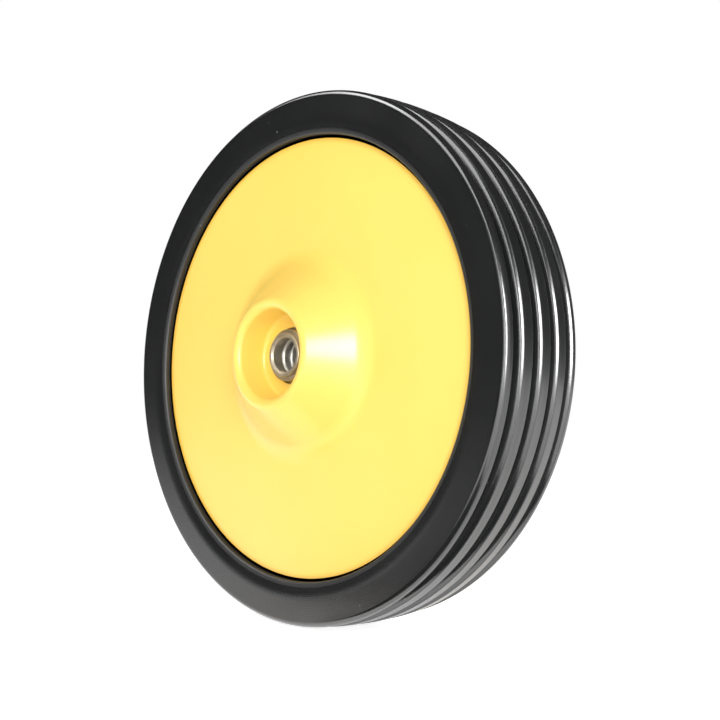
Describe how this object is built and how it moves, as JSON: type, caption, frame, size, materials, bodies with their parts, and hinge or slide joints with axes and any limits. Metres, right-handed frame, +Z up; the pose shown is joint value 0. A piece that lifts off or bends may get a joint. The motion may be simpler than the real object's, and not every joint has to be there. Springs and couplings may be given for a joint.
{
  "type": "lawn mower wheel",
  "caption": "Lawn mower wheel: ribbed black rubber tyre on yellow pressed-steel discs, turning on ball bearings round a plain axle bore in a sunk boss.",
  "frame": {"origin": "centre of the wheel, on the axle line halfway between the two sides", "axes": "+Z up, +Y along the axle towards the rear side, so the side that the picture shows faces -Y"},
  "size_m": [0.2, 0.0634, 0.2],
  "materials": {
    "tyre_rubber": "satin black moulded rubber",
    "yellow_paint": "gloss yellow paint",
    "turned_steel": "turned steel",
    "bearing_steel": "bright bearing steel",
    "ball_steel": "polished steel balls",
    "shield_steel": "thin pressed steel",
    "hub_steel": "plain drawn steel tube"
  },
  "bodies": {
    "axle_side": {"spacer_sleeve": "hub_steel", "front_axle_collar": "turned_steel", "front_outboard_race": "bearing_steel", "front_inboard_race": "bearing_steel", "rear_axle_collar": "turned_steel", "rear_outboard_race": "bearing_steel", "rear_inboard_race": "bearing_steel"},
    "wheel": {"tyre": "tyre_rubber", "hub_tube": "hub_steel", "front_disc": "yellow_paint", "front_outer_ring": "bearing_steel", "front_outboard_shield": "shield_steel", "front_inboard_shield": "shield_steel", "rear_disc": "yellow_paint", "rear_outer_ring": "bearing_steel", "rear_outboard_shield": "shield_steel", "rear_inboard_shield": "shield_steel"},
    "front_ball_row": {"front_balls": "ball_steel"},
    "rear_ball_row": {"rear_balls": "ball_steel"}
  },
  "joints": [
    {"name": "wheel_spin", "type": "hinge", "parent": "axle_side", "child": "wheel", "pos_m": [0, 0, 0], "axis": [0, 1, 0], "continuous": true},
    {"name": "front_ball_roll", "type": "hinge", "parent": "axle_side", "child": "front_ball_row", "pos_m": [0, -0.01403, 0], "axis": [0, 1, 0], "continuous": true},
    {"name": "rear_ball_roll", "type": "hinge", "parent": "axle_side", "child": "rear_ball_row", "pos_m": [0, 0.01403, 0], "axis": [0, 1, 0], "continuous": true}
  ],
  "couplings": [
    {"joint": "front_ball_roll", "follows": "wheel_spin", "ratio": 0.59616},
    {"joint": "rear_ball_roll", "follows": "wheel_spin", "ratio": 0.59616}
  ]
}
